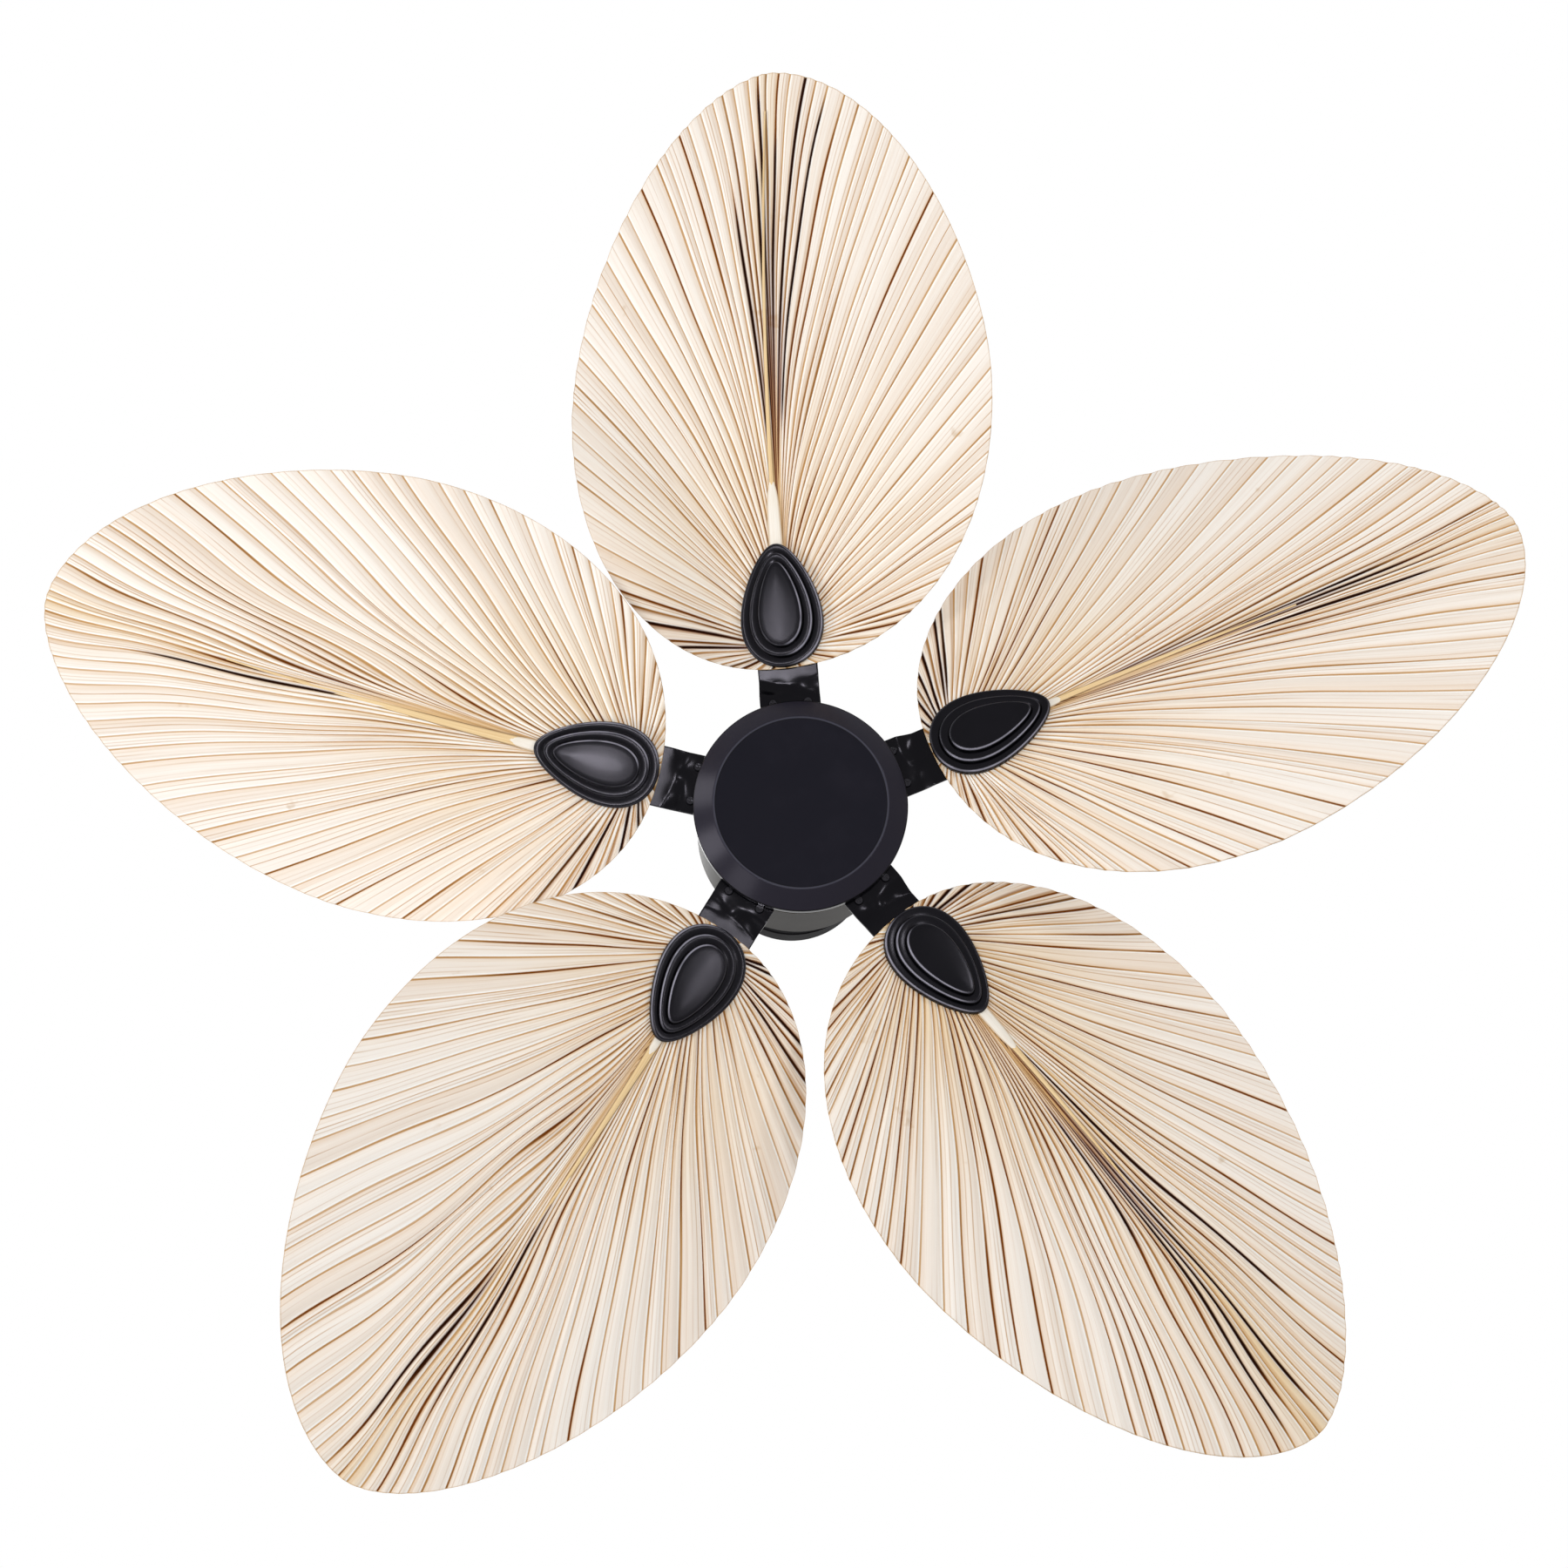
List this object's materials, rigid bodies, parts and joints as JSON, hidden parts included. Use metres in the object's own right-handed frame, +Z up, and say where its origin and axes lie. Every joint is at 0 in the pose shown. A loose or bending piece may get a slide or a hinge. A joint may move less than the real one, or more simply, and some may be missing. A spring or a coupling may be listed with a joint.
{
  "type": "ceiling fan",
  "caption": "Close-mount ceiling fan with pleated palm leaf blades on stamped arms, stepped medallions, a drum motor housing and a flat black cap; the rotor spins and the hanger ball tilts.",
  "frame": {"origin": "middle of the ceiling bracket's top face, midway between its two slots, on the ceiling plane", "axes": "+Z up into the ceiling along the fan's axis; +X along the first blade and along the line of the bracket's two slots"},
  "size_m": [1.221, 1.2593, 0.3236],
  "materials": {
    "canopy_black": "satin black enamel, lightly pebbled",
    "housing_black": "satin black enamel",
    "cap_black": "satin black, fine powder grain",
    "medallion_black": "satin black, lightly worn at the steps",
    "arm_gloss_black": "gloss black enamel on stamped steel",
    "screw_black": "black oxide",
    "palm_leaf": "dried palm leaf, matte, tan in the folds",
    "zinc_steel": "zinc plated",
    "bright_steel": "ground steel",
    "nylon_seat": "moulded nylon",
    "receiver_plastic": "fine moulded grain",
    "cast_iron": "sand cast, oiled",
    "cast_aluminium": "die cast",
    "core_steel": "stacked laminations",
    "winding_copper": "enamelled copper wire",
    "lead_insulation": "soft vinyl",
    "connector_plastic": "moulded nylon",
    "switch_plastic": "gloss black",
    "slider_plastic": "pale grey",
    "capacitor_plastic": "potted case"
  },
  "bodies": {
    "ceiling_mount": {"ceiling_bracket": "zinc_steel", "remote_receiver": "receiver_plastic", "canopy": "canopy_black", "canopy_screws": "screw_black"},
    "seat_liner": {"ball_seat_liner": "nylon_seat"},
    "fan_frame": {"hanger_ball": "cast_iron", "ball_cross_pin": "bright_steel", "ball_set_screw": "bright_steel", "downrod": "canopy_black", "motor_coupling": "cast_iron", "coupling_pin": "bright_steel", "coupling_hairpin": "bright_steel", "coupling_set_screws": "bright_steel", "coupling_cover": "canopy_black", "coupling_flange_screws": "zinc_steel", "motor_housing": "housing_black", "housing_lid": "housing_black", "housing_screws": "screw_black", "motor_shaft": "bright_steel", "retaining_rings": "bright_steel", "stator_core": "core_steel", "stator_windings": "winding_copper", "motor_leads": "lead_insulation", "lead_connector": "connector_plastic", "reverse_switch": "switch_plastic", "switch_plate": "zinc_steel", "shaft_nut": "bright_steel", "capacitor": "capacitor_plastic", "cap_clips": "zinc_steel", "bottom_cap": "cap_black"},
    "rotor": {"upper_bearing": "bright_steel", "lower_bearing": "bright_steel", "rotor_upper_bell": "cast_aluminium", "rotor_ring": "core_steel", "rotor_lower_bell": "cast_aluminium", "rotor_bolts": "bright_steel", "arm_screws": "screw_black", "leaf_screws": "screw_black", "blade_arm_1": "arm_gloss_black", "blade_arm_2": "arm_gloss_black", "blade_arm_3": "arm_gloss_black", "blade_arm_4": "arm_gloss_black", "blade_arm_5": "arm_gloss_black", "leaf_blade_1": "palm_leaf", "leaf_blade_2": "palm_leaf", "leaf_blade_3": "palm_leaf", "leaf_blade_4": "palm_leaf", "leaf_blade_5": "palm_leaf", "medallion_1": "medallion_black", "medallion_2": "medallion_black", "medallion_3": "medallion_black", "medallion_4": "medallion_black", "medallion_5": "medallion_black"},
    "switch_slider": {"reverse_slider": "slider_plastic"}
  },
  "joints": [
    {"name": "ball_tilt_x", "type": "hinge", "parent": "ceiling_mount", "child": "seat_liner", "pos_m": [0, 0, -0.048], "axis": [1, 0, 0], "range_deg": [-10, 10]},
    {"name": "ball_tilt_y", "type": "hinge", "parent": "seat_liner", "child": "fan_frame", "pos_m": [0, 0, -0.048], "axis": [0, 1, 0], "range_deg": [-10, 10]},
    {"name": "rotor_spin", "type": "hinge", "parent": "fan_frame", "child": "rotor", "pos_m": [0, 0, -0.2105], "axis": [0, 0, 1], "continuous": true},
    {"name": "reverse_slide", "type": "slide", "parent": "fan_frame", "child": "switch_slider", "axis": [0, 0, 1], "range_m": [0, 0.0044]}
  ]
}
